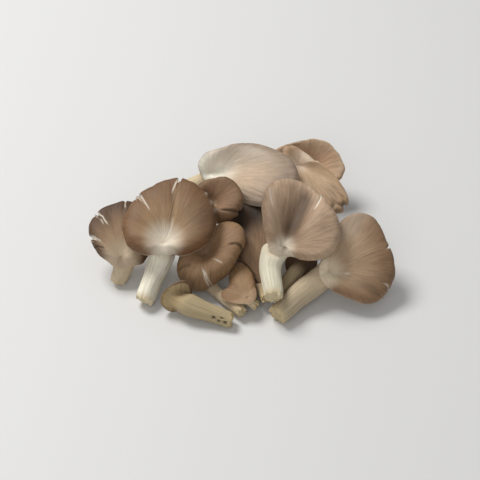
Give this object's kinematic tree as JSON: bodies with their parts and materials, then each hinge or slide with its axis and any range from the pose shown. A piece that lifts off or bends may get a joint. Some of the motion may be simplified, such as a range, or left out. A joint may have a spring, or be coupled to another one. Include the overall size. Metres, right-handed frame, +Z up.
{
  "type": "oyster mushroom cluster",
  "caption": "Heap of grey oyster mushrooms with fan-shaped brown caps, gills and cream stems, lying over one another on a flat surface.",
  "frame": {"origin": "on the surface the heap lies on, under the middle of its bounding box", "axes": "+Z up; +X along the heap's longest side; -Y towards the side where the cut stems of the front clump point"},
  "size_m": [0.2004, 0.1482, 0.0599],
  "materials": {
    "left_outer_flesh": "matt, slightly damp mushroom flesh",
    "left_fan_flesh": "matt, slightly damp mushroom flesh",
    "small_back_flesh": "matt, slightly damp mushroom flesh",
    "back_flesh": "matt, slightly damp mushroom flesh",
    "back_right_flesh": "matt, slightly damp mushroom flesh",
    "far_right_flesh": "matt, slightly damp mushroom flesh",
    "centre_trumpet_flesh": "matt, slightly damp mushroom flesh",
    "right_fan_flesh": "matt, slightly damp mushroom flesh",
    "front_curl_flesh": "matt, slightly damp mushroom flesh",
    "front_small_flesh": "matt, slightly damp mushroom flesh",
    "front_lying_flesh": "matt, slightly damp mushroom flesh",
    "inner_flesh": "matt, slightly damp mushroom flesh",
    "hidden_flesh": "matt, slightly damp mushroom flesh"
  },
  "bodies": {
    "root": {"left_outer": "left_outer_flesh", "left_fan": "left_fan_flesh", "small_back": "small_back_flesh", "back": "back_flesh", "back_right": "back_right_flesh", "far_right": "far_right_flesh", "centre_trumpet": "centre_trumpet_flesh", "right_fan": "right_fan_flesh", "front_curl": "front_curl_flesh", "front_small": "front_small_flesh", "front_lying": "front_lying_flesh", "inner": "inner_flesh", "hidden": "hidden_flesh"}
  },
  "joints": []
}
